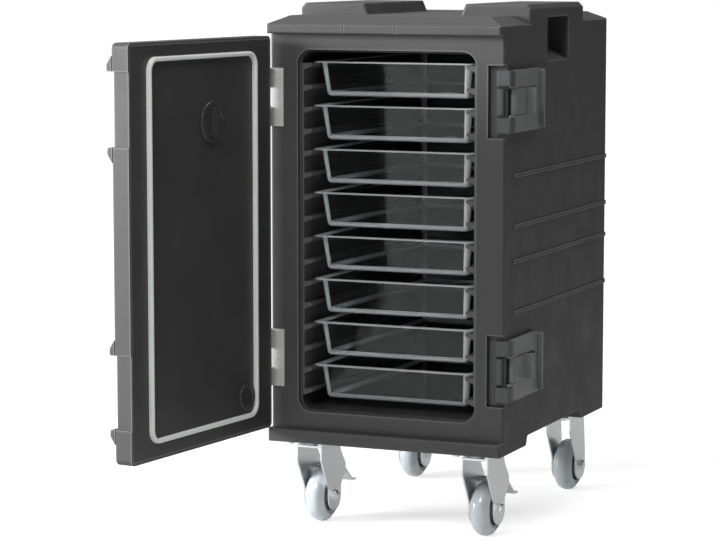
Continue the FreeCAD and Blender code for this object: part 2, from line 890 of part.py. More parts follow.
# Hinges: a leaf on the frame, a leaf on the door's edge, and a pin through their knuckles
def hinge_bore():
    return rod("hinge_bore", "z", "hinge_pin_radius + running_fit", "-leaf_height", "leaf_height",
               ("hinge_x", "hinge_y"))


def body_leaf():
    """Frame leaf about the hinge's middle height, cranked forward to its knuckles."""
    sheet = size.leaf_thickness
    arm = size.hinge_x + size.knuckle_radius
    inner = -size.body_half + size.leaf_width
    crank = [
        (inner, size.frame_plane), (arm - sheet, size.frame_plane), (arm - sheet, size.hinge_y),
        (arm, size.hinge_y), (arm, size.frame_plane - sheet), (inner, size.frame_plane - sheet)]
    plate = prism("body_leaf_plate", "xy", [crank], "-leaf_height / 2", "leaf_height / 2")
    knuckle = rod("body_knuckle", "z", "knuckle_radius", "-leaf_height / 2", "leaf_height / 2",
                  ("hinge_x", "hinge_y"))
    clearing = box("door_knuckle_room",
                   (f"hinge_x - knuckle_radius - {OVERCUT}", "hinge_x + knuckle_radius + seat_gap"),
                   (f"hinge_y - knuckle_radius - {OVERCUT}", f"frame_plane + {OVERCUT}"),
                   ("-leaf_height / 6 - seat_gap", "leaf_height / 6 + seat_gap"))
    whole = fuse("body_leaf_whole", [plate, knuckle])
    holes = group("body_leaf_holes", frame_screws("body_leaf_hole", 0, size.running_fit))
    return cut("body_leaf", whole, [clearing, hinge_bore(), holes])


def door_leaf():
    """Door leaf about the hinge's middle height, with the middle knuckle."""
    plate = box("door_leaf_plate",
                ("-door_half - leaf_thickness", "-door_half"),
                ("hinge_y - knuckle_radius - leaf_reach", "hinge_y - knuckle_radius"),
                ("-leaf_height / 2", "leaf_height / 2"))
    arm = box("door_leaf_arm",
              ("hinge_x", "-door_half"),
              ("hinge_y - knuckle_radius", "hinge_y - knuckle_radius + leaf_thickness"),
              ("-leaf_height / 6", "leaf_height / 6"))
    knuckle = rod("door_knuckle", "z", "knuckle_radius", "-leaf_height / 6", "leaf_height / 6",
                  ("hinge_x", "hinge_y"))
    whole = fuse("door_leaf_whole", [plate, arm, knuckle])
    holes = group("door_leaf_holes", edge_screws("door_leaf_hole", 0, size.running_fit))
    return cut("door_leaf", whole, [hinge_bore(), holes])


def hinge_pin():
    half = size.leaf_height / 2
    end = half + size.hinge_pin_head
    bevel = size.hinge_pin_head / 2
    head = size.knuckle_radius
    radius = size.hinge_pin_radius
    return turned("hinge_pin", [
        (0, -end), (head - bevel, -end), (head, bevel - end), (head, -half), (radius, -half),
        (radius, half), (head, half), (head, end - bevel), (head - bevel, end), (0, end)],
        "z", Vector(size.hinge_x, size.hinge_y, 0))


# Latches, about their middle height: a base in the corner pocket, a lever and a folding hook
def latch_base():
    wall = size.body_half
    root = size.latch_floor - size.latch_base_plate + size.side_play
    left = wall - size.latch_pocket_width + size.ear_inset
    front = size.frame_plane + size.latch_front_inset
    outer = size.lever_x + size.lever_out
    rear = size.lever_y + size.lever_out - size.side_play
    ear = [(left, root), (left, front, size.ear_front_round), (outer, front, size.ear_nose_round),
           (outer, rear, size.ear_rear_round), (wall, rear), (wall, root)]
    bar_front = front + size.latch_front_inset
    bar_edge = wall - size.bar_inset
    bar = [(left, root), (left, bar_front, size.ear_front_round), (bar_edge, bar_front, size.bar_round),
           (bar_edge, root)]
    sheet = box("latch_base_sheet",
                ("body_half - latch_pocket_width + side_play", "body_half"),
                ("latch_floor - latch_base_plate", "latch_floor"),
                ("-latch_pocket_height / 2 + side_play", "latch_pocket_height / 2 - side_play"))
    whole = fuse("latch_base_whole", [
        sheet,
        prism("latch_ear", "xy", [ear], "ear_low", "latch_height / 2"),
        prism("latch_ear", "xy", [ear], "-latch_height / 2", "-ear_low"),
        prism("latch_bar", "xy", [bar], "-hook_half", "hook_half")])
    bore = rod("lever_bore", "z", "lever_pin_radius + running_fit",
               "-latch_height / 2 + ear_cap", "latch_height / 2 - ear_cap", ("lever_x", "lever_y"))
    return cut("latch_base", whole, [bore])


def lever_pins():
    upper = rod("lever_pin", "z", "lever_pin_radius", "window_half", "latch_height / 2 - ear_cap - side_play",
                ("lever_x", "lever_y"))
    return group("lever_pins", [upper, mirror("lever_pin_low", upper, UP)])


def latch_lever():
    """C-shaped lever with a window for the folded hook and a lip to pull."""
    half = size.latch_height / 2
    window = size.window_half
    start = size.lever_y + size.lever_out + size.lever_gap
    end = size.lever_y + size.lever_length
    band = end - size.lever_band
    frame = [
        (start, window), (start, half, size.lever_root_round), (end, half, size.lever_end_round),
        (end, -half, size.lever_end_round), (start, -half, size.lever_root_round), (start, -window),
        (band, -window, size.window_round), (band, window, size.window_round)]
    lip = rectangle(size.lever_lip, size.latch_height - 2 * size.lever_gap, size.lever_lip_round,
                    (end - size.lever_lip / 2, 0))
    tongue = [(size.lever_inner, size.lever_y), (size.lever_outer, size.lever_y),
              (size.lever_outer, start + OVERCUT), (size.lever_inner, start + OVERCUT)]
    parts = [
        prism("lever_frame", "yz", [frame], "lever_inner", "lever_outer"),
        prism("lever_finger_lip", "yz", [lip], f"lever_outer - {OVERCUT}", "lever_outer + lever_lip")]
    cheeks = (("window_half", "window_half + lever_cheek"), ("-window_half - lever_cheek", "-window_half"))
    for low, high in cheeks:
        parts.append(prism("lever_tongue", "xy", [tongue], low, high))
        parts.append(rod("lever_eye", "z", "lever_thickness / 2", low, high, ("lever_x", "lever_y")))
    pivot = rod("lever_pivot_bore", "z", "lever_pin_radius + running_fit",
                "-latch_height", "latch_height", ("lever_x", "lever_y"))
    hook = rod("hook_pin_bore", "z", "hook_pin_radius + running_fit",
               "-hook_half - hook_pin_overlap - side_play", "hook_half + hook_pin_overlap + side_play",
               ("lever_x", "hook_y"))
    return cut("latch_lever", fuse("latch_lever_whole", parts), [pivot, hook])


def hook_pin():
    return rod("hook_pin", "z", "hook_pin_radius", "-hook_half - hook_pin_overlap",
               "hook_half + hook_pin_overlap", ("lever_x", "hook_y"))


def latch_hook():
    """Hook folded back along the side: a barrel, a plate and a claw that would reach round the door."""
    reach = size.hook_y - (size.door_outer + size.recess_depth) + size.side_play
    near = size.lever_x + 2 * size.side_play
    far = near + size.hook_plate
    tip = far + size.hook_grip
    claw = size.hook_y + reach
    end = claw + size.hook_plate
    corners = [(near, size.hook_y), (far, size.hook_y), (far, claw, size.hook_inner_round),
               (tip, claw, size.hook_tip_round), (tip, end, size.hook_tip_round),
               (near, end, size.hook_back_round)]
    plate = prism("hook_plate_body", "xy", [corners], "-hook_half", "hook_half")
    barrel = rod("hook_barrel_rod", "z", "hook_barrel", "-hook_half", "hook_half", ("lever_x", "hook_y"))
    bore = rod("hook_bore", "z", "hook_pin_radius + running_fit", "-2 * hook_half", "2 * hook_half",
               ("lever_x", "hook_y"))
    return cut("latch_hook", fuse("latch_hook_whole", [plate, barrel]), [bore])


# Casters, about their king pin, with the wheel trailing towards the back
def bolt_places():
    across = size.caster_plate_width / 2 - size.bolt_inset
    along = size.caster_plate_length / 2 - size.bolt_inset
    return [(sign_x * across, sign_y * along) for sign_x in (1, -1) for sign_y in (1, -1)]


def caster_head():
    plate = prism("caster_plate", "xy",
                  [rectangle(size.caster_plate_width, size.caster_plate_length, size.caster_plate_round)],
                  "plate_low", "foot_bottom")
    head_top = size.crown_low - size.seat_gap
    head_low = head_top - size.king_head_height
    inside = size.plate_low + OVERCUT
    race = turned("caster_race", [
        (0, head_low), (size.king_head_radius, head_low, size.king_head_round),
        (size.king_head_radius, head_top), (size.king_pin_radius, head_top),
        (size.king_pin_radius, size.race_low), (size.race_radius - size.race_bevel, size.race_low),
        (size.race_radius, size.race_low + size.race_bevel, size.race_round),
        (size.race_radius, inside), (0, inside)])
    holes = [rod("caster_bolt_hole", "z", "bolt_radius + running_fit", f"plate_low - {OVERCUT}",
                 f"foot_bottom + {OVERCUT}", (str(x), str(y))) for x, y in bolt_places()]
    return cut("caster_head", fuse("caster_head_whole", [plate, race]), [group("caster_bolt_holes", holes)])


def caster_bolts():
    """The four bolts of one caster, heads below the plate."""
    head_low = size.plate_low - size.bolt_head
    end = size.plate_low + size.bolt_length
    bolts = []
    for x, y in bolt_places():
        bolts.append(turned("caster_bolt", [
            (0, head_low), (size.bolt_head_radius, head_low, size.head_round),
            (size.bolt_head_radius, size.plate_low), (size.bolt_radius, size.plate_low),
            (size.bolt_radius, end), (0, end)], "z", Vector(x, y, 0)))
    return group("caster_bolt_set", bolts)


def fork_leg(braked):
    """Side view of a leg: a straight front edge, a slant to the axle's eye and a straight back."""
    axle_z = size.wheel_radius
    eye_front = size.trail - size.fork_eye_radius
    eye_back = size.trail + size.fork_eye_radius
    eye_low = axle_z - size.fork_eye_radius
    front = -size.race_radius
    back = size.crown_back
    top = size.crown_top
    leg = [
        (front, top, size.fork_top_round),
        (front, top - size.fork_shoulder, size.fork_bend),
        (eye_front, axle_z + size.fork_neck, size.fork_bend),
        (eye_front, eye_low, size.fork_eye_round),
        (eye_back, eye_low, size.fork_eye_round),
    ]
    if braked:
        ear = size.pedal_ear
        ear_back = size.pedal_y + ear
        ear_round = ear - size.side_play
        leg += [
            (eye_back, axle_z + size.pedal_ear_low, ear_round),
            (ear_back, size.pedal_z - ear, ear_round),
            (ear_back, size.pedal_z + ear, ear_round),
            (back + size.pedal_ear_bend, top - size.pedal_ear_shoulder, size.pedal_ear_bend),
        ]
    else:
        leg.append((eye_back, axle_z + size.fork_heel, size.fork_bend))
    return leg + [(back, top, size.fork_top_round)]


def fork(name, braked):
    """Pressed fork with two long legs, and ears for the pedal's pin where it has a brake."""
    leg = fork_leg(braked)
    front = -size.race_radius
    crown = [(front, size.crown_low), (size.crown_back, size.crown_low), (size.crown_back, size.crown_top),
             (front, size.crown_top)]
    body = new_body(name)
    pad(body, "yz", [leg], "-fork_half", "-fork_inside")
    pad(body, "yz", [crown], "-fork_half", "fork_half")
    pad(body, "yz", [leg], "fork_inside", "fork_half")
    across = ("-2 * fork_half", "2 * fork_half")
    bores = [
        rod("king_bore", "z", "king_pin_radius + running_fit", f"crown_low - {OVERCUT}",
            f"crown_top + {OVERCUT}", ("0", "0")),
        rod("axle_bore", "x", "axle_radius + running_fit", *across, ("trail", "wheel_radius"))]
    if braked:
        pivot = ("pedal_y", "pedal_z")
        bores.append(rod("pedal_bore", "x", "pedal_pin_radius + running_fit", *across, pivot))
    return cut(name + "_bored", body, bores)


def wheel_place():
    return Vector(0, size.trail, size.wheel_radius)


def both_ways(corners):
    """Corners of one half of a profile followed by the same corners mirrored, from end to end."""
    return corners + [(radius, -along) + tuple(rest) for radius, along, *rest in reversed(corners)]


def tyre():
    inner = size.wheel_radius - size.tyre_thickness
    side = size.wheel_half - size.tyre_side
    return turned("tyre_ring", both_ways([
        (inner, -side), (size.wheel_radius - size.tyre_shoulder, -size.wheel_half, size.tyre_side),
        (size.wheel_radius, size.tread_crown - size.wheel_half, size.tread_round)]), "x", wheel_place())


def hub():
    """Hub with a dished web on both sides and a boss that runs between the fork's legs."""
    rim = size.wheel_radius - size.tyre_thickness
    lip = rim - size.hub_rim
    side = size.wheel_half - size.tyre_side
    boss = size.hub_boss_radius
    boss_end = boss - size.hub_boss_taper
    boss_half = size.fork_inside - size.seat_gap
    web = size.hub_web / 2
    bore = size.axle_radius + size.running_fit
    return turned("hub_disc", both_ways([
        (bore, -boss_half), (boss_end, -boss_half, size.hub_edge), (boss, -web, size.hub_round),
        (lip - size.hub_slope, -web, size.hub_round), (lip, -side, size.hub_edge), (rim, -side)]),
        "x", wheel_place())


def axle():
    half = size.fork_half
    head = size.axle_head_radius
    end = half + size.axle_head
    radius = size.axle_radius
    return turned("axle_bolt", both_ways([
        (0, -end), (head, -end, size.head_round), (head, -half), (radius, -half)]), "x", wheel_place())


def brake_pedal():
    """Foot pedal on a cross pin, with a shoe that swings down to the tread."""
    y = size.pedal_y
    z = size.pedal_z
    sheet = size.pedal_sheet
    edge = size.pedal_edge
    bend = size.pedal_bend
    back = y - size.pedal_shoe
    heel_y = y + size.pedal_heel
    end_y = y + size.pedal_length
    toe_y = end_y - size.pedal_toe
    end_z = z - size.pedal_drop
    tread = [
        (back, z + sheet, edge), (back, z - sheet, edge), (heel_y, z - 2 * sheet, bend),
        (toe_y, end_z - sheet, bend), (end_y, end_z - sheet, edge), (end_y, end_z, edge),
        (toe_y, end_z, bend), (heel_y, z, bend), (y + size.pedal_shoe, z + sheet, edge)]
    plate = prism("pedal_plate", "yz", [tread], "-pedal_half", "pedal_half")
    pin = rod("pedal_pin", "x", "pedal_pin_radius", "-fork_half", "fork_half", ("pedal_y", "pedal_z"))
    boss = rod("pedal_boss", "x", "pedal_shoe", "-pedal_half", "pedal_half", ("pedal_y", "pedal_z"))
    return fuse("brake_pedal", [plate, boss, pin])


# Assembly: every finished piece gets its label and its place
def keep(label, source, placement=None):
    pieces[label] = group(label, source if isinstance(source, list) else [source], placement)
    pieces[label].Label = label


def at_height(height):
    return Placement(Vector(0, 0, height), Rotation())


def build_cabinet():
    hollow = wall_hollow()
    keep("outer_shell", outer_shell(hollow))
    keep("insulation", insulation(hollow))
    keep("inner_liner", inner_liner())
    right = runners()
    keep("right_runners", right)
    keep("left_runners", mirror("left_runner_body", right))
    keep("cabinet_screws", both_hinges(frame_screws, "cabinet_screw"))


def build_pans():
    """A pan on every other ledge."""
    master = pan()
    count = int((size.ledge_count + 1) // 2)
    middle = size.pan_front + size.pan_length / 2
    for index in range(count):
        rim = size.first_rim - 2 * index * size.ledge_pitch
        keep(f"pan_{index + 1}", master, Placement(Vector(0, middle, rim), Rotation()))


def build_door():
    keep("door_shell", door_shell(), swung)
    keep("door_insulation", door_fill("door_foam", "door_floor", "panel_back"), swung)
    keep("door_inner_panel", door_inner_panel(), swung)
    keep("door_gasket", door_gasket(), swung)
    keep("vent_knob", vent_knob(), swung)
    keep("fill_plug", fill_plug(), swung)
    keep("door_screws", both_hinges(edge_screws, "door_screw"), swung)


def build_hinges():
    frame_leaf = body_leaf()
    swing_leaf = door_leaf()
    pin = hinge_pin()
    for side, height in (("upper", size.hinge_upper), ("lower", size.hinge_lower)):
        keep(f"{side}_hinge_body_leaf", frame_leaf, at_height(height))
        keep(f"{side}_hinge_door_leaf", swing_leaf, swung.multiply(at_height(height)))
        keep(f"{side}_hinge_pin", pin, at_height(height))


def build_latches():
    sources = {
        "latch_base": latch_base(),
        "lever_pins": lever_pins(),
        "latch_lever": latch_lever(),
        "latch_hook": latch_hook(),
        "hook_pin": hook_pin(),
    }
    for side, height in (("upper", size.latch_upper), ("lower", size.latch_lower)):
        for name, source in sources.items():
            keep(f"{side}_{name}", source, at_height(height))


def build_casters():
    head = caster_head()
    bolts = caster_bolts()
    plain_fork = fork("plain_fork", False)
    braked_fork = fork("braked_fork", True)
    wheel = {"tyre": tyre(), "hub": hub(), "axle": axle()}
    pedal = brake_pedal()
    corners = {
        "front_left": (-1, -1),
        "front_right": (1, -1),
        "rear_left": (-1, 1),
        "rear_right": (1, 1),
    }
    across = size.body_half - size.caster_side_inset
    along = size.back_plane - size.caster_end_inset
    all_bolts = []
    for corner, (sign_x, sign_y) in corners.items():
        place = Placement(Vector(sign_x * across, sign_y * along, 0), Rotation())
        braked = sign_y < 0
        keep(f"{corner}_caster_head", head, place)
        keep(f"{corner}_fork", braked_fork if braked else plain_fork, place)
        for name, source in wheel.items():
            keep(f"{corner}_{name}", source, place)
        if braked:
            keep(f"{corner}_brake_pedal", pedal, place)
        all_bolts.append(group(f"{corner}_bolts", [bolts], place))
    keep("caster_bolts", all_bolts)


def check_and_export():
    doc.recompute()
    for item in doc.Objects:
        if "Invalid" in item.State or "Error" in item.State:
            raise RuntimeError(f"{item.Label} failed to build")
    os.makedirs("parts", exist_ok=True)
    for label, item in pieces.items():
        if item.Shape.isNull() or not item.Shape.isValid():
            raise RuntimeError(f"{label} has no valid shape")
    for label, item in pieces.items():
        item.Shape.exportStep(os.path.join("parts", label + ".step"))
    print(len(pieces), "pieces")


build_cabinet()
build_pans()
build_door()
build_hinges()
build_latches()
build_casters()
check_and_export()
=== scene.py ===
"""Insulated pan carrier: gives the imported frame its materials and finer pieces, and sets the stage."""
import json
import math

import bmesh
import bpy
from bpy.props import FloatProperty, FloatVectorProperty, IntProperty, PointerProperty
from mathutils import Matrix, Vector


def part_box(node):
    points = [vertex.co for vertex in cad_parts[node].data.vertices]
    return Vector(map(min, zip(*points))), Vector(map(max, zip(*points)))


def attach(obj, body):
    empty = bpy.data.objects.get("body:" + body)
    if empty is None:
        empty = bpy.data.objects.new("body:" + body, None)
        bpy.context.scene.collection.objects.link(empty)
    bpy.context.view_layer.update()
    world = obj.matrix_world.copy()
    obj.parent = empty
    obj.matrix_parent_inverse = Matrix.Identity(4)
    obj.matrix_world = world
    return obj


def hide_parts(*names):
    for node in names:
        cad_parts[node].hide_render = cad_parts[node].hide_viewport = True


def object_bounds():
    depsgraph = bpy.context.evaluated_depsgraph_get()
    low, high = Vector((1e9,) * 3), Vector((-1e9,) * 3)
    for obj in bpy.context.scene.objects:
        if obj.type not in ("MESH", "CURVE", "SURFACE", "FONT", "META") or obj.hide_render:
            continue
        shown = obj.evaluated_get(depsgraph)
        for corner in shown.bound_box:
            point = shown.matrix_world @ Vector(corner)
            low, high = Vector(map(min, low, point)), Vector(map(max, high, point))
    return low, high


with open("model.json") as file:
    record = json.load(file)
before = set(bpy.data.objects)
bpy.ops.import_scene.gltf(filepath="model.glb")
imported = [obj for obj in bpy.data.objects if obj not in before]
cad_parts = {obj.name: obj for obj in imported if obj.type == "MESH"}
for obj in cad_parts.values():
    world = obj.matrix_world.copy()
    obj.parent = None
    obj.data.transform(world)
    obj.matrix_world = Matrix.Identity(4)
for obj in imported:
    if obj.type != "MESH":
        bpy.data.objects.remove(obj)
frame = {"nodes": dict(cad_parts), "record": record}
cad_low, cad_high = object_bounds()

bl_info = {
    "name": "Insulated Pan Carrier",
    "version": (1, 0, 0),
    "blender": (4, 5, 0),
    "location": "View3D > Sidebar > Pan Carrier",
    "description": "Materials, pans, fasteners and studio stage for an insulated pan carrier on casters",
    "category": "Object",
}

MM = 0.001
CORNERS = ("front_left", "front_right", "rear_left", "rear_right")
LEVELS = ("upper", "lower")
PANS = tuple(node for node in frame["nodes"] if node.startswith("pan_"))


def linear(code):
    """Linear colour of an sRGB hex code."""
    shares = [int(code[place:place + 2], 16) / 255 for place in (1, 3, 5)]
    return tuple(part / 12.92 if part <= 0.04045 else ((part + 0.055) / 1.055) ** 2.4 for part in shares)


def colour(code, name, description):
    return FloatVectorProperty(name=name, description=description, subtype="COLOR", size=3,
                               min=0, max=1, default=linear(code))


def length(millimetres, name, description):
    return FloatProperty(name=name, description=description, unit="LENGTH", subtype="DISTANCE",
                         min=0, precision=4, default=millimetres * MM)


def place(point, name, description):
    return FloatVectorProperty(name=name, description=description, unit="LENGTH", subtype="TRANSLATION",
                               default=point)


def power(watts, name, description):
    return FloatProperty(name=name, description=description, unit="POWER", min=0, default=watts)


class CarrierColours(bpy.types.PropertyGroup):
    """Colours of the finishes"""

    shell: colour("#424243", "Shell", "Charcoal of the moulded cabinet and door")
    # Painted highlight: a paler grey mixed into the shell along its ribs and outer edges, standing in for
    # light
    edge_highlight: colour("#8c8c8b", "Highlight", "Paler grey of the shell's scuffed ribs and edges")
    liner: colour("#3a3838", "Liner", "Darker charcoal of the liner and door panel")
    # Painted light: the ledges are the liner's plastic, given a lighter charcoal than the liner for the light
    # on them
    lit_ledge: colour("#575556", "Runner", "Lighter charcoal of the ledge panels")
    # Latch bases, levers and hooks are one nylon: the bases are painted darker as shade, the levers and hooks
    # lighter as light
    latch_base: colour("#494a4b", "Latch Base", "Dark grey of the moulded latch bases")
    latch_lever: colour("#767778", "Latch Lever", "Lighter grey of the latch levers and hooks")
    fitting: colour("#3a3a3a", "Fitting", "Black of the vent knob and plug in the door")
    gasket: colour("#e6e8e7", "Gasket", "Off-white of the door gasket")
    stainless: colour("#e4e4e2", "Stainless", "Brushed stainless steel of the hinges")
    zinc: colour("#eef0f1", "Zinc", "Bright zinc plate of the casters")
    tyre: colour("#d2dbe2", "Tyre", "Blue-grey of the wheel tyres")
    hub: colour("#b9c0c6", "Hub", "Pale grey of the wheel hubs")
    pan: colour("#eef3f3", "Pan", "Faint tint of the clear pans")
    foam: colour("#d8c48a", "Foam", "Straw yellow of the foam fill")
    floor: colour("#cfcfce", "Floor", "Pale studio floor")


class CarrierSizes(bpy.types.PropertyGroup):
    """Sizes of the finer pieces"""

    pan_wall: length(3, "Pan Wall", "Thickness of a pan's walls and floor")
    pan_rim: length(12.5, "Pan Rim", "Width of a pan's flat rim")
    pan_rim_thickness: length(2.5, "Rim Thickness", "Thickness of a pan's rim")
    pan_round: length(18, "Pan Corner", "Corner radius of a pan's rim")
    pan_draft: length(8, "Pan Draft", "How far a pan's wall leans in over its depth")
    pan_floor_round: length(9, "Pan Floor Round", "Radius between a pan's wall and floor")
    screw_head: length(4, "Screw Head", "Radius of a hinge screw's head")
    screw_crown: length(0.5, "Screw Crown", "Rise of a hinge screw's oval head, sunk to be flush")
    cross_arm: length(2.1, "Cross Arm", "Reach of one arm of a screw's cross recess")
    cross_half: length(0.45, "Cross Half Width", "Half width of an arm of a screw's cross recess")
    cross_depth: length(1.2, "Cross Depth", "Depth of a screw's cross recess")
    bolt_corner: length(7.2, "Bolt Head", "Radius over the corners of a caster bolt's head")
    bolt_rise: length(4, "Bolt Height", "Height of a caster bolt's head")
    nut_corner: length(10.5, "Axle Nut", "Radius over the corners of an axle's head and nut")
    nut_rise: length(6, "Nut Height", "Height of an axle's head and nut")
    washer: length(1.2, "Washer", "Thickness of the washers under bolts and nuts")
    axle_radius: length(6, "Axle", "Radius of an axle's shank")
    plate: length(3, "Caster Plate", "Thickness of the plate that the caster bolts hold")
    curve_steps: IntProperty(name="Curve Steps", description="Segments in a quarter round", min=2, default=6)


class CarrierStage(bpy.types.PropertyGroup):
    """Camera and lamps"""

    camera_place: place((1.8719, -4.7717, 1.0796), "Camera Place", "Where the camera stands")
    camera_yaw: FloatProperty(name="Camera Yaw", description="Turn of the camera towards the left",
                              unit="ROTATION", default=math.radians(23.254))
    camera_pitch: FloatProperty(name="Camera Pitch", description="Tilt of the camera down from level",
                                unit="ROTATION", default=math.radians(6.803))
    lens: FloatProperty(name="Lens", description="Focal length for a sensor 36 mm wide", unit="CAMERA",
                        default=133.93)
    key_place: place((-3.9, -2.9, 1.7), "Key Place", "Where the softbox at the front left stands")
    key_width: length(1600, "Key Width", "Side of the softbox at the front left")
    key_power: power(340, "Key", "Softbox at the front left")
    fill_place: place((0.1, -2.7, 2.5), "Fill Place", "Where the softbox in front stands")
    fill_width: length(900, "Fill Width", "Side of the softbox in front")
    fill_power: power(42, "Fill", "Softbox in front")
    top_place: place((0.9, 0.3, 3.2), "Top Place", "Where the softbox overhead hangs")
    top_width: length(1800, "Top Width", "Side of the softbox overhead")
    top_power: power(36, "Top", "Softbox overhead")
    ambient: FloatProperty(name="Ambient", description="Even light from all round", min=0, default=0.05)
    bright_side: FloatVectorProperty(name="Bright Side", description="Where mirrored surroundings are white",
                                     subtype="DIRECTION", default=(-0.8, -0.2, 0.56))
    floor_glow: FloatProperty(name="Floor Glow", description="Added white of the floor, 1 is all white",
                              min=0, max=1, default=0.7)
    floor_bounce: FloatProperty(name="Floor Bounce", description="Light that the lit floor sends up",
                                min=0, default=0.16)


# Materials: the range that most values of a noise pattern lie in, and the detail of broad patches
NOISE_LOW = 0.3
NOISE_HIGH = 0.7
PATCH_DETAIL = 2

# Painted highlight, a paler grey on the shell's ribs and outer edges: how far it reaches in from an edge in
# mm, the openness below the surface, 1 in a thick wall, where it starts and is full, the largest share of the
# paler grey, and the rays that find it
HIGHLIGHT_REACH = 3
HIGHLIGHT_START = 0.95
HIGHLIGHT_FULL = 0.55
HIGHLIGHT_MOST = 0.6
HIGHLIGHT_RAYS = 8

# Brush lines on sheet metal are this many times longer than wide
BRUSH_STRETCH = 50


def add(tree, kind, inputs=None, **settings):
    """Node with its settings, and with its inputs set to values or linked to other nodes' outputs."""
    node = tree.nodes.new(kind)
    for name, value in settings.items():
        setattr(node, name, value)
    for name, value in (inputs or {}).items():
        if isinstance(value, bpy.types.NodeSocket):
            tree.links.new(value, node.inputs[name])
        else:
            node.inputs[name].default_value = value
    return node


def new_material(name, base, **sockets):
    """Material with plain values on its shader's sockets, given with the tree and the shader."""
    material = bpy.data.materials.new(name)
    material.use_nodes = True
    shader = material.node_tree.nodes["Principled BSDF"]
    shader.inputs["Base Color"].default_value = (*base, 1)
    for socket, value in sockets.items():
        shader.inputs[socket.replace("_", " ")].default_value = value
    return material, material.node_tree, shader


def per_metre(millimetres):
    """Texture scale that gives features of this size."""
    return 1 / (millimetres * MM)


def textured(name, base, grain, depth, darker, patch=None, rough=None, patchy_gloss=False, detail=3,
             stretch=1, **sockets):
    """Material with a grain of a width and depth in mm as bump, whose colour darkens in patches.

    Without patches the colour follows the grain. Roughness, where it varies, runs between two values with
    the grain, or with the patches for a patchy gloss.
    """
    material, tree, shader = new_material(name, base, **sockets)
    spot = add(tree, "ShaderNodeTexCoord").outputs["Object"]
    drawn = spot
    if stretch != 1:
        drawn = add(tree, "ShaderNodeMapping", {
            "Vector": spot, "Scale": (1, 1, 1 / stretch)}).outputs["Vector"]
    pebble = add(tree, "ShaderNodeTexNoise", {
        "Vector": drawn, "Scale": per_metre(grain), "Detail": detail}).outputs["Fac"]
    bump = add(tree, "ShaderNodeBump", {"Height": pebble, "Distance": depth * MM, "Strength": 1})
    tree.links.new(bump.outputs["Normal"], shader.inputs["Normal"])
    patches = pebble
    if patch:
        patches = add(tree, "ShaderNodeTexNoise", {
            "Vector": spot, "Scale": per_metre(patch), "Detail": PATCH_DETAIL}).outputs["Fac"]
    if rough:
        gloss = add(tree, "ShaderNodeMapRange", {
            "Value": patches if patchy_gloss else pebble, "From Min": NOISE_LOW, "From Max": NOISE_HIGH,
            "To Min": rough[0], "To Max": rough[1]})
        tree.links.new(gloss.outputs["Result"], shader.inputs["Roughness"])
    shade = add(tree, "ShaderNodeMix", {
        "Factor": patches, "A": (*[part * darker for part in base], 1), "B": (*base, 1)}, data_type="RGBA")
    tree.links.new(shade.outputs["Result"], shader.inputs["Base Color"])
    return material


def polyethylene_shell(tones):
    # Rotationally moulded polyethylene: matt charcoal, a fine pebble from the mould, faint cloudy gloss,
    # and a painted highlight, a paler grey on the ribs and outer edges that stands in for light they catch
    material = textured("rotomoulded_polyethylene", tones.shell, grain=1.6, depth=0.12, patch=70,
                        rough=(0.46, 0.6), darker=0.82, patchy_gloss=True, IOR=1.51)
    tree = material.node_tree
    base = tree.nodes["Principled BSDF"].inputs["Base Color"]
    # Painted highlight: where the wall below is thin, along the ribs and outer edges, a paler grey is mixed
    # in
    wall_below = add(tree, "ShaderNodeAmbientOcclusion", {"Distance": HIGHLIGHT_REACH * MM}, inside=True,
                     only_local=True, samples=HIGHLIGHT_RAYS)
    highlight_share = add(tree, "ShaderNodeMapRange", {
        "Value": wall_below.outputs["AO"], "From Min": HIGHLIGHT_START, "From Max": HIGHLIGHT_FULL, "To Min": 0,
        "To Max": HIGHLIGHT_MOST})
    highlighted = add(tree, "ShaderNodeMix", {
        "Factor": highlight_share.outputs["Result"], "A": base.links[0].from_socket, "B": (*tones.edge_highlight, 1)},
        data_type="RGBA")
    tree.links.new(highlighted.outputs["Result"], base)
    return material


def polyethylene_liner(name, base):
    # Vacuum formed polyethylene: smoother than the shell, with a satin sheen
    return textured(name, base, grain=3.2, depth=0.05, patch=90, rough=(0.36, 0.5), darker=0.85,
                    patchy_gloss=True, IOR=1.51)


def nylon_latch(name, base):
    # Glass-filled nylon: hard grey moulding with a fine spark-eroded texture
    return textured(name, base, grain=0.9, depth=0.06, patch=25, rough=(0.34, 0.48), darker=0.85, IOR=1.53)


def acetal_fitting(tones):
    # Injection moulded acetal: glossy black, with the slightest ripple from the mould
    return textured("moulded_acetal", tones.fitting, grain=6, depth=0.02, patch=20, rough=(0.16, 0.26),
                    darker=0.9, IOR=1.48)


def silicone_gasket(tones):
    # Extruded silicone: soft off-white, faint ripples from the die and dust in the grain
    return textured("extruded_silicone", tones.gasket, grain=2, depth=0.04, patch=30, rough=(0.42, 0.58),
                    darker=0.9, IOR=1.41, Subsurface_Weight=0.15, Subsurface_Scale=2 * MM)


def stainless_steel(tones):
    # Brushed stainless sheet: pale, with upright lines drawn coarser than real ones so that they show
    return textured("brushed_stainless", tones.stainless, grain=0.8, depth=0.02, patch=18,
                    rough=(0.6, 0.74), darker=0.9, stretch=BRUSH_STRETCH, Metallic=1, Anisotropic=0.4)


def zinc_plate(tones):
    # Bright zinc plate on pressed steel: a blurred mirror with a soft waviness from pressing
    return textured("zinc_plated_steel", tones.zinc, grain=12, depth=0.02, patch=14, rough=(0.28, 0.34),
                    darker=0.97, patchy_gloss=True, detail=0, Metallic=1)


def rubber_tyre(tones):
    # Thermoplastic rubber tread: glossy blue-grey, a little light goes in and comes out again
    return textured("thermoplastic_rubber", tones.tyre, grain=5, depth=0.03, patch=22, rough=(0.24, 0.36),
                    darker=0.88, IOR=1.5, Subsurface_Weight=0.12, Subsurface_Scale=3 * MM,
                    Coat_Weight=1, Coat_Roughness=0.04)


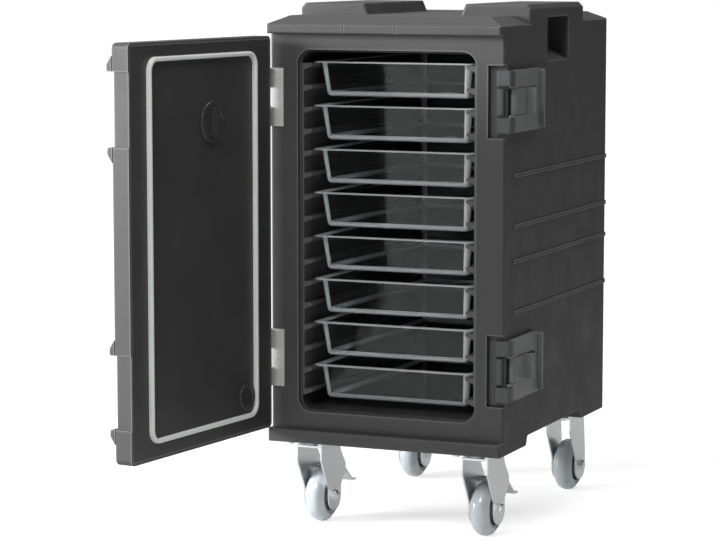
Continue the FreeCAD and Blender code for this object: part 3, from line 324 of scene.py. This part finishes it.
def polypropylene_hub(tones):
    # Injection moulded polypropylene: pale grey with a waxy gloss
    return textured("moulded_polypropylene", tones.hub, grain=2.5, depth=0.03, patch=20, rough=(0.28, 0.4),
                    darker=0.9, IOR=1.49)


def hazy(name, base, haze, rough, **sockets):
    """Clear material whose roughness changes in patches of haze of a width in mm."""
    material, tree, shader = new_material(name, base, **sockets)
    spot = add(tree, "ShaderNodeTexCoord").outputs["Object"]
    patches = add(tree, "ShaderNodeTexNoise", {
        "Vector": spot, "Scale": per_metre(haze), "Detail": PATCH_DETAIL})
    gloss = add(tree, "ShaderNodeMapRange", {
        "Value": patches.outputs["Fac"], "From Min": NOISE_LOW, "From Max": NOISE_HIGH,
        "To Min": rough[0], "To Max": rough[1]})
    tree.links.new(gloss.outputs["Result"], shader.inputs["Roughness"])
    return material


def polycarbonate_pan(tones):
    # Clear polycarbonate: glass-clear thin walls, with less mirror than a thick sheet and faint haze
    return hazy("clear_polycarbonate", tones.pan, haze=40, rough=(0.02, 0.07), IOR=1.3,
                Transmission_Weight=1)


def polycarbonate_edge(tones):
    # The same polycarbonate where it is thick or worn: rims and corners gather light and look milky
    return hazy("scuffed_polycarbonate", tones.pan, haze=40, rough=(0.3, 0.36), IOR=1.585,
                Transmission_Weight=0.5)


def polyurethane_foam(tones):
    # Rigid foam fill: straw yellow closed cells 2 mm wide, seen only if the shell is taken away
    return textured("rigid_foam", tones.foam, grain=2, depth=0.3, darker=0.75, Roughness=0.9, IOR=1.45)


# Pieces: the distance under which points are one, the angle of a hard edge, and the segments of a turned
# round
MERGE = 0.001 * MM
HARD_EDGE = math.radians(35)
ROUND_STEPS = 32


def dress(material, *nodes):
    """Gives CAD nodes a material."""
    for node in nodes:
        mesh = frame["nodes"][node].data
        mesh.materials.clear()
        mesh.materials.append(material)


def piece(name, mesh_maker, body, materials, replaced):
    """New mesh piece that rides on a body, with smooth faces and sharp edges where it turns hard."""
    mesh = bpy.data.meshes.new(name)
    build = bmesh.new()
    mesh_maker(build)
    bmesh.ops.remove_doubles(build, verts=build.verts, dist=MERGE)
    bmesh.ops.recalc_face_normals(build, faces=build.faces)
    build.to_mesh(mesh)
    build.free()
    for material in materials:
        mesh.materials.append(material)
    mesh.shade_smooth()
    mesh.set_sharp_from_angle(angle=HARD_EDGE)
    item = bpy.data.objects.new(name, mesh)
    bpy.context.scene.collection.objects.link(item)
    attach(item, body)
    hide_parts(*replaced)


def body_of(node):
    for body, members in frame["record"]["behaviour"]["bodies"].items():
        if node in members:
            return body
    raise ValueError(f"{node} is on no body")


def arc(centre, radius, start, end, steps):
    """Points of an arc in a plane, between two angles in degrees."""
    angles = [math.radians(start + (end - start) * step / steps) for step in range(steps + 1)]
    return [(centre[0] + radius * math.cos(angle), centre[1] + radius * math.sin(angle)) for angle in angles]


def bridge(build, rings):
    """Faces between rings with as many points each, with flat ends."""
    loops = [[build.verts.new(point) for point in ring] for ring in rings]
    for first, second in zip(loops, loops[1:]):
        count = len(first)
        for here in range(count):
            after = (here + 1) % count
            build.faces.new((first[here], first[after], second[after], second[here]))
    for loop in (loops[0], loops[-1]):
        build.faces.new(loop)


def circle(radius, height, seat, angles):
    return [seat @ Vector((radius * math.cos(angle), radius * math.sin(angle), height)) for angle in angles]


def lathe(build, profile, seat, steps):
    """Turned form from points of radius and height, set by a matrix, with flat ends."""
    angles = [2 * math.pi * step / steps for step in range(steps)]
    bridge(build, [circle(radius, height, seat, angles) for radius, height in profile])


def facing(origin, direction):
    """Matrix that puts a form's +Z along a direction from a point."""
    turn = Vector(direction).to_track_quat("Z", "Y").to_matrix().to_4x4()
    return Matrix.Translation(origin) @ turn


# Fasteners, each set on the face of a solid of the node that it takes the place of. The solids of one node
# are shorter than this gap and stand further apart.
FASTENER_GAP = 20 * MM

# Rings of a screw head: share of its radius, and height in shares of its radius and of its crown
SCREW_RINGS = ((0.55, -0.45, 0), (1, 0, 0), (0.93, 0, 0.45), (0.78, 0, 0.8))

# Cross recess: its floor in shares of an arm's reach and half width, the angle of a point on an arm's side
# in shares of the corner's angle, and the least sine that is divided by
RECESS_FLOOR_ARM = 0.8
RECESS_FLOOR_HALF = 0.7
RECESS_SIDE = 2.5
LEAST_SINE = 0.001

# Hexagons: their sides, the top in shares of the radius over flats, the bevel's height in shares of its
# width, and the height of a lock nut's hexagon in shares of the nut's
HEX_STEPS = 6
HEX_TOP = 0.94
HEX_BEVEL = 0.6
NUT_HEX = 0.65

# Rings of a washer, in shares of its hexagon's radius over flats and of its own thickness, and of a lock
# nut's collar with the bolt's end in it, in shares of the nut's radius over corners and of its height
WASHER_RINGS = ((0.6, 0), (1.22, 0), (1.22, 1), (0.6, 1))
COLLAR_RINGS = ((0.78, 0.6), (0.78, 0.85), (0.702, 1), (0.5, 1), (0.5, 1.2), (0.4, 1.3))


def solids_of(node):
    """Corner points of each solid in a node of fasteners."""
    item = frame["nodes"][node]
    groups = []
    for vertex in item.data.vertices:
        point = item.matrix_world @ vertex.co
        near = next((group for group in groups if (group[0] - point).length < FASTENER_GAP), None)
        if near is None:
            groups.append([point])
        else:
            near.append(point)
    return groups


def middle_of(points):
    return Vector([(min(axis) + max(axis)) / 2 for axis in zip(*points)])


def end_of(points, direction):
    """Middle of the face that a solid turns to a direction."""
    middle = middle_of(points)
    reach = max((point - middle).dot(direction) for point in points)
    return middle + direction * reach


def cross_angles(arm, half):
    """Angles round a cross that hit every one of its corners."""
    corner = math.atan2(half, arm)
    side = RECESS_SIDE * corner
    shares = (-math.pi / 4, -side, -corner, 0, corner, side)
    return [math.pi / 2 * quarter + share for quarter in range(4) for share in shares]


def cross_ring(arm, half, height, seat, angles):
    ring = []
    for angle in angles:
        fold = abs((angle + math.pi / 4) % (math.pi / 2) - math.pi / 4)
        radius = min(arm / math.cos(fold), half / max(math.sin(fold), LEAST_SINE))
        ring.append(seat @ Vector((radius * math.cos(angle), radius * math.sin(angle), height)))
    return ring


def screw_head(build, sizes, seat):
    """Oval countersunk head with a cross recess."""
    arm = sizes.cross_arm
    half = sizes.cross_half
    head = sizes.screw_head
    crown = sizes.screw_crown
    angles = cross_angles(arm, half)
    rings = []
    for share, sunk, risen in SCREW_RINGS:
        rings.append(circle(share * head, sunk * head + risen * crown, seat, angles))
    rings.append(cross_ring(arm, half, crown, seat, angles))
    rings.append(cross_ring(RECESS_FLOOR_ARM * arm, RECESS_FLOOR_HALF * half, crown - sizes.cross_depth,
                            seat, angles))
    bridge(build, rings)


def hex_bolt(build, corner, rise, washer, seat):
    """Six-sided head with a turned-off top edge, on a flat washer."""
    flat = corner * math.cos(math.pi / HEX_STEPS)
    lathe(build, [(share * flat, level * washer) for share, level in WASHER_RINGS], seat, ROUND_STEPS)
    top = washer + rise
    shoulder = top - HEX_BEVEL * (corner - flat)
    lathe(build, [(corner, washer), (corner, shoulder), (flat * HEX_TOP, top)], seat, HEX_STEPS)


def lock_nut(build, corner, rise, washer, seat):
    """Six-sided nut with a round collar and the bolt's end standing out of it."""
    hex_bolt(build, corner, NUT_HEX * rise, washer, seat)
    collar = [(share * corner, washer + level * rise) for share, level in COLLAR_RINGS]
    lathe(build, collar, seat, ROUND_STEPS)


# Pans: places in the list of their materials, the most that a flat wall leans, the small round under the
# rim in shares of the wall and its segments, and the share of a ring's inset that its corners lose in radius
CLEAR = 0
EDGE = 1
FLAT_LEAN = math.radians(10.5)
UNDER_RIM_ROUND = 1 / 3
UNDER_RIM_STEPS = 3
CORNER_LOSS = 0.5


def pan_profile(sizes, depth):
    """Section of a pan from inner to outer floor: distances in from the rim's edge, and heights."""
    steps = sizes.curve_steps
    rim = sizes.pan_rim
    wall = sizes.pan_wall
    lip = sizes.pan_rim_thickness
    edge = lip / 2
    floor = sizes.pan_floor_round
    under = wall * UNDER_RIM_ROUND
    inner_low = rim + wall + sizes.pan_draft
    outer_low = rim + sizes.pan_draft
    section = arc((inner_low + floor, wall - depth + floor), floor, -90, -180, steps)
    section += arc((rim, -wall), wall, 0, 90, steps)
    section += arc((edge, -edge), edge, 90, 270, steps)
    section += arc((rim - under, -lip - under), under, 90, 0, UNDER_RIM_STEPS)
    section += arc((outer_low + floor, floor - depth), floor, 180, 270, steps)
    return section


def is_flat(face, rim_low):
    """Whether a face lies in a pan's flat walls or floor, and not in its corners or its rim."""
    below_rim = face.calc_center_median().z < rim_low
    return below_rim and max(abs(part) for part in face.normal) > math.cos(FLAT_LEAN)


def pan_mesh(sizes, low, high):
    """Maker of one pan between two corners of its node."""
    middle = (low + high) / 2
    half = (high - low) / 2

    def make(build):
        rings = []
        for inward, height in pan_profile(sizes, high.z - low.z):
            radius = sizes.pan_round - inward * CORNER_LOSS
            reach = (half.x - inward - radius, half.y - inward - radius)
            ring = []
            for quarter, (side_x, side_y) in enumerate(((1, 1), (-1, 1), (-1, -1), (1, -1))):
                corner = (middle.x + side_x * reach[0], middle.y + side_y * reach[1])
                for x, y in arc(corner, radius, 90 * quarter, 90 * quarter + 90, sizes.curve_steps):
                    ring.append(Vector((x, y, high.z + height)))
            rings.append(ring)
        bridge(build, rings)
        build.normal_update()
        for face in build.faces:
            face.material_index = CLEAR if is_flat(face, high.z - sizes.pan_rim_thickness) else EDGE

    return make


class CARRIER_OT_pans(bpy.types.Operator):
    """Makes the clear pans with their flat rims and rounded floors"""

    bl_idname = "carrier.pans"
    bl_label = "Pans"

    def execute(self, context):
        tones = context.scene.carrier_colours
        materials = [polycarbonate_pan(tones), polycarbonate_edge(tones)]
        for node in PANS:
            make = pan_mesh(context.scene.carrier_sizes, *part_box(node))
            piece(f"{node}_clear", make, body_of(node), materials, [node])
        return {"FINISHED"}


# Cabinet and door
class CARRIER_OT_cabinet(bpy.types.Operator):
    """Gives the cabinet and the door their moulded plastics, foam and gasket"""

    bl_idname = "carrier.cabinet"
    bl_label = "Cabinet and Door"

    def execute(self, context):
        tones = context.scene.carrier_colours
        dress(polyethylene_shell(tones), "outer_shell", "door_shell")
        dress(polyethylene_liner("formed_polyethylene", tones.liner), "inner_liner", "door_inner_panel")
        # Painted light: the ledges take the liner's polyethylene in a lighter charcoal than the liner
        dress(polyethylene_liner("formed_polyethylene_lit_ledges", tones.lit_ledge), "left_runners", "right_runners")
        dress(acetal_fitting(tones), "vent_knob", "fill_plug")
        dress(polyurethane_foam(tones), "insulation", "door_insulation")
        dress(silicone_gasket(tones), "door_gasket")
        return {"FINISHED"}


# Hinges and latches
def door_edge_direction():
    """Way that the door's hinge edge faces, square to the axis of the vent in the door's face."""
    joint = next(item for item in frame["record"]["behaviour"]["joints"] if item["name"] == "vent_turn")
    across, along, _ = joint["axis"]
    return Vector((-along, across, 0))


def screws_mesh(sizes, node, direction):
    """Maker of a node's screw heads, sunk until their crowns are flush with the solids."""

    def make(build):
        for points in solids_of(node):
            seat = end_of(points, direction) - direction * sizes.screw_crown
            screw_head(build, sizes, facing(seat, direction))

    return make


class CARRIER_OT_hinges(bpy.types.Operator):
    """Gives the hinges brushed stainless steel and makes their cross-recess screws"""

    bl_idname = "carrier.hinges"
    bl_label = "Hinges"

    def execute(self, context):
        sizes = context.scene.carrier_sizes
        steel = stainless_steel(context.scene.carrier_colours)
        for level in LEVELS:
            dress(steel, f"{level}_hinge_body_leaf", f"{level}_hinge_door_leaf", f"{level}_hinge_pin")
        ways = {"cabinet_screws": Vector((0, -1, 0)), "door_screws": door_edge_direction()}
        for node, direction in ways.items():
            make = screws_mesh(sizes, node, direction)
            piece(f"{node}_cross", make, body_of(node), [steel], [node])
        return {"FINISHED"}


class CARRIER_OT_latches(bpy.types.Operator):
    """Gives the latches nylon painted darker on the bases and lighter on the levers as shade and light, and
    steel pins
    """

    bl_idname = "carrier.latches"
    bl_label = "Latches"

    def execute(self, context):
        tones = context.scene.carrier_colours
        # Painted shade and light: the same nylon is darker on the bases and lighter on the levers and hooks
        nylon_painted_dark = nylon_latch("glass_filled_nylon_painted_dark", tones.latch_base)
        nylon_painted_light = nylon_latch("glass_filled_nylon_painted_light", tones.latch_lever)
        steel = bpy.data.materials["brushed_stainless"]
        for level in LEVELS:
            dress(nylon_painted_dark, f"{level}_latch_base")
            dress(nylon_painted_light, f"{level}_latch_lever", f"{level}_latch_hook")
            dress(steel, f"{level}_lever_pins", f"{level}_hook_pin")
        return {"FINISHED"}


# Casters
def bolts_mesh(sizes, node, plate_top):
    """Maker of the bolts under the caster plates, with their heads down."""

    def make(build):
        for points in solids_of(node):
            seat = middle_of(points)
            seat.z = plate_top - sizes.plate
            hex_bolt(build, sizes.bolt_corner, sizes.bolt_rise, sizes.washer, facing(seat, (0, 0, -1)))

    return make


def axle_mesh(sizes, fork, centre):
    """Maker of one axle: a shank between the fork's legs, a head outside and a lock nut inside."""
    outside = 1 if centre.x > 0 else -1

    def make(build):
        for side, form in ((outside, hex_bolt), (-outside, lock_nut)):
            seat = Vector((fork[1].x if side > 0 else fork[0].x, centre.y, centre.z))
            form(build, sizes.nut_corner, sizes.nut_rise, sizes.washer, facing(seat, (side, 0, 0)))
        shank = sizes.axle_radius
        half = (fork[1].x - fork[0].x) / 2
        lathe(build, [(shank, -half), (shank, half)], facing(centre, (1, 0, 0)), ROUND_STEPS)

    return make


class CARRIER_OT_casters(bpy.types.Operator):
    """Gives the casters zinc plate, grey tyres and hubs, and makes their bolts and nuts"""

    bl_idname = "carrier.casters"
    bl_label = "Casters"

    def execute(self, context):
        tones = context.scene.carrier_colours
        sizes = context.scene.carrier_sizes
        zinc = zinc_plate(tones)
        tyre = rubber_tyre(tones)
        hub = polypropylene_hub(tones)
        dress(zinc, "front_left_brake_pedal", "front_right_brake_pedal")
        bolts = "caster_bolts"
        make = bolts_mesh(sizes, bolts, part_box("front_left_caster_head")[1].z)
        piece(f"{bolts}_hex", make, body_of(bolts), [zinc], [bolts])
        for corner in CORNERS:
            dress(zinc, f"{corner}_caster_head", f"{corner}_fork")
            dress(tyre, f"{corner}_tyre")
            dress(hub, f"{corner}_hub")
            axle = f"{corner}_axle"
            make = axle_mesh(sizes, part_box(f"{corner}_fork"), middle_of(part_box(axle)))
            piece(f"{axle}_bolt", make, body_of(axle), [zinc], [axle])
        return {"FINISHED"}


# Stage: how squarely a mirrored ray meets the bright side where it turns white, the floor's size and the
# distances between which its glow grows to white in metres, and the camera's sensor in mm
WHITE_FROM = 0.75
FLOOR_RADIUS = 40
FLOOR_STEPS = 96
GLOW_NEAR = 1
GLOW_FAR = 3.5
SENSOR_WIDTH = 36
WHITE = (1, 1, 1, 1)


def studio_world(stage):
    """White where it is seen, white on one side where it is mirrored, and dim where it only gives light."""
    world = bpy.data.worlds.new("studio")
    world.use_nodes = True
    tree = world.node_tree
    path = add(tree, "ShaderNodeLightPath")
    seen = add(tree, "ShaderNodeMath", {
        0: path.outputs["Is Camera Ray"], 1: path.outputs["Is Transmission Ray"]}, operation="MAXIMUM")
    direction = add(tree, "ShaderNodeTexCoord").outputs["Generated"]
    facing_light = add(tree, "ShaderNodeVectorMath", {0: direction, 1: stage.bright_side},
                       operation="DOT_PRODUCT").outputs["Value"]
    side = add(tree, "ShaderNodeMapRange", {
        "Value": facing_light, "From Min": 0, "From Max": WHITE_FROM, "To Min": stage.ambient, "To Max": 1})
    mirrored = add(tree, "ShaderNodeMath", {
        0: path.outputs["Is Glossy Ray"], 1: side.outputs["Result"]}, operation="MULTIPLY")
    shown = add(tree, "ShaderNodeMath", {
        0: seen.outputs["Value"], 1: mirrored.outputs["Value"]}, operation="MAXIMUM")
    strength = add(tree, "ShaderNodeMath", {
        0: shown.outputs["Value"], 1: stage.ambient}, operation="MAXIMUM")
    tree.links.new(strength.outputs["Value"], tree.nodes["Background"].inputs["Strength"])
    tree.nodes["Background"].inputs["Color"].default_value = WHITE
    bpy.context.scene.world = world


def studio_floor(base, glow, bounce):
    # Painted studio floor: pale and matt, with white added where it is seen so that only shadows show
    material, tree, shader = new_material("painted_floor", base, Roughness=0.8, Emission_Color=WHITE)
    spot = add(tree, "ShaderNodeTexCoord").outputs["Object"]
    distance = add(tree, "ShaderNodeVectorMath", {0: spot}, operation="LENGTH")
    outwards = add(tree, "ShaderNodeMapRange", {
        "Value": distance.outputs["Value"], "From Min": GLOW_NEAR, "From Max": GLOW_FAR, "To Min": glow,
        "To Max": 1})
    path = add(tree, "ShaderNodeLightPath")
    seen = add(tree, "ShaderNodeMath", {
        0: path.outputs["Is Camera Ray"], 1: path.outputs["Is Transmission Ray"]}, operation="MAXIMUM")
    shown = add(tree, "ShaderNodeMath", {
        0: seen.outputs["Value"], 1: outwards.outputs["Result"]}, operation="MULTIPLY")
    strength = add(tree, "ShaderNodeMath", {0: shown.outputs["Value"], 1: bounce}, operation="MAXIMUM")
    tree.links.new(strength.outputs["Value"], shader.inputs["Emission Strength"])
    build = bmesh.new()
    bmesh.ops.create_circle(build, cap_ends=True, radius=FLOOR_RADIUS, segments=FLOOR_STEPS)
    mesh = bpy.data.meshes.new("studio_floor")
    build.to_mesh(mesh)
    build.free()
    mesh.materials.append(material)
    floor = bpy.data.objects.new("studio_floor", mesh)
    floor.location.z = cad_low.z
    bpy.context.scene.collection.objects.link(floor)


def softbox(name, spot, target, width, watts):
    """Square area lamp at a spot, aimed at a target."""
    lamp = bpy.data.lights.new(name, "AREA")
    lamp.energy = watts
    lamp.size = width
    item = bpy.data.objects.new(name, lamp)
    item.location = spot
    item.rotation_euler = (Vector(target) - Vector(spot)).to_track_quat("-Z", "Y").to_euler()
    bpy.context.scene.collection.objects.link(item)


class CARRIER_OT_stage(bpy.types.Operator):
    """Sets the floor, the lamps, the background and the camera"""

    bl_idname = "carrier.stage"
    bl_label = "Stage"

    def execute(self, context):
        stage = context.scene.carrier_stage
        middle = (cad_low + cad_high) / 2
        studio_world(stage)
        studio_floor(context.scene.carrier_colours.floor, stage.floor_glow, stage.floor_bounce)
        softbox("key_softbox", stage.key_place, middle, stage.key_width, stage.key_power)
        softbox("fill_softbox", stage.fill_place, middle, stage.fill_width, stage.fill_power)
        softbox("top_softbox", stage.top_place, middle, stage.top_width, stage.top_power)
        camera = bpy.data.cameras.new("photo_camera")
        camera.lens = stage.lens
        camera.sensor_width = SENSOR_WIDTH
        item = bpy.data.objects.new("photo_camera", camera)
        item.location = stage.camera_place
        item.rotation_euler = (math.pi / 2 - stage.camera_pitch, 0, stage.camera_yaw)
        context.scene.collection.objects.link(item)
        context.scene.camera = item
        context.scene.view_settings.view_transform = "Standard"
        return {"FINISHED"}


class CARRIER_PT_panel(bpy.types.Panel):
    """Lists the steps that dress the carrier"""

    bl_idname = "CARRIER_PT_panel"
    bl_label = "Pan Carrier"
    bl_space_type = "VIEW_3D"
    bl_region_type = "UI"
    bl_category = "Pan Carrier"

    def draw(self, context):
        for operator in OPERATORS:
            self.layout.operator(operator.bl_idname)
        for group in GROUPS:
            settings = getattr(context.scene, group)
            for name in settings.__annotations__:
                self.layout.prop(settings, name)


OPERATORS = (
    CARRIER_OT_cabinet,
    CARRIER_OT_pans,
    CARRIER_OT_hinges,
    CARRIER_OT_latches,
    CARRIER_OT_casters,
    CARRIER_OT_stage,
)
GROUPS = {
    "carrier_colours": CarrierColours,
    "carrier_sizes": CarrierSizes,
    "carrier_stage": CarrierStage,
}


def register():
    for item in (*GROUPS.values(), *OPERATORS, CARRIER_PT_panel):
        bpy.utils.register_class(item)
    for name, group in GROUPS.items():
        setattr(bpy.types.Scene, name, PointerProperty(type=group))


def unregister():
    for name in GROUPS:
        delattr(bpy.types.Scene, name)
    for item in (CARRIER_PT_panel, *reversed(OPERATORS), *GROUPS.values()):
        bpy.utils.unregister_class(item)


def main():
    register()
    bpy.ops.carrier.cabinet()
    bpy.ops.carrier.pans()
    bpy.ops.carrier.hinges()
    bpy.ops.carrier.latches()
    bpy.ops.carrier.casters()
    bpy.ops.carrier.stage()


if __name__ == "__main__":
    main()
